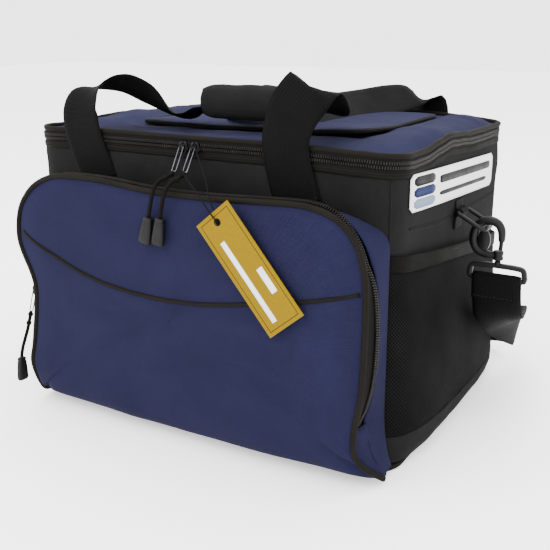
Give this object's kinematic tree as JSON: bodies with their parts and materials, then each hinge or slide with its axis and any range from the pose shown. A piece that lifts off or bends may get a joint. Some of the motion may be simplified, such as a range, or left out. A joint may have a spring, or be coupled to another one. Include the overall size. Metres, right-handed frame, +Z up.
{
  "type": "insulated cooler bag",
  "caption": "Insulated cooler bag with zipped lid and quick-access flap, drop-front pocket, side mesh pockets, carry handles and clip-on shoulder strap",
  "frame": {"origin": "centre of the underside, on the surface the bag stands on", "axes": "+X to the bag's right seen from the front, -Y to the front with the large pocket, +Z up"},
  "size_m": [0.533, 0.4228, 0.3592],
  "materials": {
    "navy_fabric": "woven navy polyester, soft sheen",
    "lid_fabric": "woven navy polyester, softly quilted",
    "black_fabric": "fine black polyester",
    "grip_fabric": "black padded wrap",
    "black_mesh": "open black net",
    "webbing": "ribbed black webbing",
    "binding": "dark grey braided binding over cord",
    "foam": "closed cell foam",
    "liner": "wipe-clean grey film",
    "board": "stiff base board",
    "zip_tape": "woven zip tape",
    "zip_teeth": "dark coil teeth",
    "slider_metal": "black enamelled metal",
    "pull_cord": "braided dark cord",
    "pull_rubber": "satin grey moulded rubber",
    "tag_card": "gold card with a thin dark border",
    "string": "thin dark string",
    "white_label": "white woven label with plain colour bars",
    "velcro": "hook and loop",
    "hardware_plastic": "black moulded plastic"
  },
  "bodies": {
    "root": {"base_panel": "board", "outer_shell": "black_fabric", "front_and_rear_foam": "foam", "side_foam": "foam", "base_foam": "foam", "inner_liner": "liner", "rim_binding": "zip_tape", "lower_edge_piping": "binding", "body_zip_tape": "zip_tape", "body_zip_teeth": "zip_teeth", "lid_hinge_tape": "zip_tape", "pocket_gusset": "navy_fabric", "pocket_outer_tape": "zip_tape", "pocket_outer_teeth": "zip_teeth", "pocket_lower_panel": "navy_fabric", "side_mesh_pockets": "black_mesh", "side_pocket_hems": "binding", "side_pocket_bases": "black_fabric", "strap_tabs": "webbing", "side_label": "white_label"},
    "lid": {"lid_panel": "lid_fabric", "lid_foam": "foam", "lid_liner": "liner", "lid_zip_tape": "zip_tape", "lid_zip_teeth": "zip_teeth", "lid_binding": "binding", "lid_velcro_loop": "velcro"},
    "access_flap": {"access_flap": "lid_fabric", "access_flap_binding": "zip_tape", "flap_velcro_hook": "velcro"},
    "pocket_front": {"pocket_panel": "navy_fabric", "pocket_piping": "binding", "pocket_curved_piping": "binding", "pocket_inner_tape": "zip_tape", "pocket_inner_teeth": "zip_teeth"},
    "lid_slider_left": {"lid_slider_left": "slider_metal"},
    "lid_pull_left": {"lid_pull_left_wire": "slider_metal", "lid_pull_left_cord": "pull_cord", "lid_pull_left_end": "pull_rubber"},
    "lid_slider_right": {"lid_slider_right": "slider_metal"},
    "lid_pull_right": {"lid_pull_right_wire": "slider_metal", "lid_pull_right_cord": "pull_cord", "lid_pull_right_end": "pull_rubber", "hang_tag": "tag_card", "tag_string": "string"},
    "pocket_slider": {"pocket_slider": "slider_metal"},
    "pocket_pull": {"pocket_pull_wire": "slider_metal", "pocket_pull_cord": "pull_cord", "pocket_pull_end": "pull_rubber"},
    "front_handle": {"front_handle": "webbing", "handle_grip": "grip_fabric"},
    "rear_handle": {"rear_handle": "webbing"},
    "shoulder_strap": {"shoulder_strap": "webbing", "shoulder_pad": "grip_fabric", "strap_adjuster": "hardware_plastic", "snap_hooks": "hardware_plastic", "swivel_eyes": "hardware_plastic", "d_rings": "hardware_plastic"},
    "snap_gate_left": {"snap_gate_left": "hardware_plastic"},
    "snap_gate_right": {"snap_gate_right": "hardware_plastic"}
  },
  "joints": [
    {"name": "lid_hinge", "type": "hinge", "parent": "root", "child": "lid", "pos_m": [0, 0.1565, 0.2815], "axis": [-1, 0, 0], "range_deg": [0, 90], "deforming": ["front_handle", "handle_grip", "rear_handle"]},
    {"name": "access_flap_hinge", "type": "hinge", "parent": "lid", "child": "access_flap", "pos_m": [0.006, 0.1186, 0.2866], "axis": [-1, 0, 0], "range_deg": [0, 95]},
    {"name": "pocket_front_fold", "type": "hinge", "parent": "root", "child": "pocket_front", "pos_m": [0, -0.1987, 0.0582], "axis": [1, 0, 0], "range_deg": [0, 90], "deforming": ["lid_pull_left_cord", "lid_pull_left_end", "lid_pull_right_cord", "lid_pull_right_end", "tag_string", "hang_tag"]},
    {"name": "lid_slider_left_slide", "type": "slide", "parent": "root", "child": "lid_slider_left", "axis": [-1, 0, 0], "range_m": [0, 0.085]},
    {"name": "lid_pull_left_swing", "type": "hinge", "parent": "lid_slider_left", "child": "lid_pull_left", "pos_m": [-0.0122, -0.1616, 0.2805], "axis": [-1, 0, 0], "range_deg": [0, 35]},
    {"name": "lid_slider_right_slide", "type": "slide", "parent": "root", "child": "lid_slider_right", "axis": [1, 0, 0], "range_m": [0, 0.06]},
    {"name": "lid_pull_right_swing", "type": "hinge", "parent": "lid_slider_right", "child": "lid_pull_right", "pos_m": [0.0007, -0.1616, 0.2805], "axis": [-1, 0, 0], "range_deg": [0, 35]},
    {"name": "pocket_slider_slide", "type": "slide", "parent": "root", "child": "pocket_slider", "axis": [0, 0, 1], "range_m": [-0.02, 0.06]},
    {"name": "pocket_pull_swing", "type": "hinge", "parent": "pocket_slider", "child": "pocket_pull", "pos_m": [-0.1904, -0.1855, 0.124], "axis": [0, 1, 0], "range_deg": [0, 50]},
    {"name": "front_handle_swing", "type": "hinge", "parent": "root", "child": "front_handle", "pos_m": [-0.02, -0.159, 0.2475], "axis": [1, 0, 0], "range_deg": [0, 70]},
    {"name": "rear_handle_swing", "type": "hinge", "parent": "root", "child": "rear_handle", "pos_m": [0.008, 0.159, 0.2325], "axis": [-1, 0, 0], "range_deg": [0, 70]},
    {"name": "strap_swing", "type": "hinge", "parent": "root", "child": "shoulder_strap", "pos_m": [0, 0, 0.213], "axis": [1, 0, 0], "range_deg": [0, 75], "deforming": ["strap_tabs"]},
    {"name": "snap_gate_left_hinge", "type": "hinge", "parent": "shoulder_strap", "child": "snap_gate_left", "pos_m": [-0.2402, 0, 0.1792], "axis": [0, 1, 0], "range_deg": [0, 40], "stiffness_Nm_per_rad": 0.004},
    {"name": "snap_gate_right_hinge", "type": "hinge", "parent": "shoulder_strap", "child": "snap_gate_right", "pos_m": [0.2402, 0, 0.1792], "axis": [0, -1, 0], "range_deg": [0, 40], "stiffness_Nm_per_rad": 0.004}
  ]
}
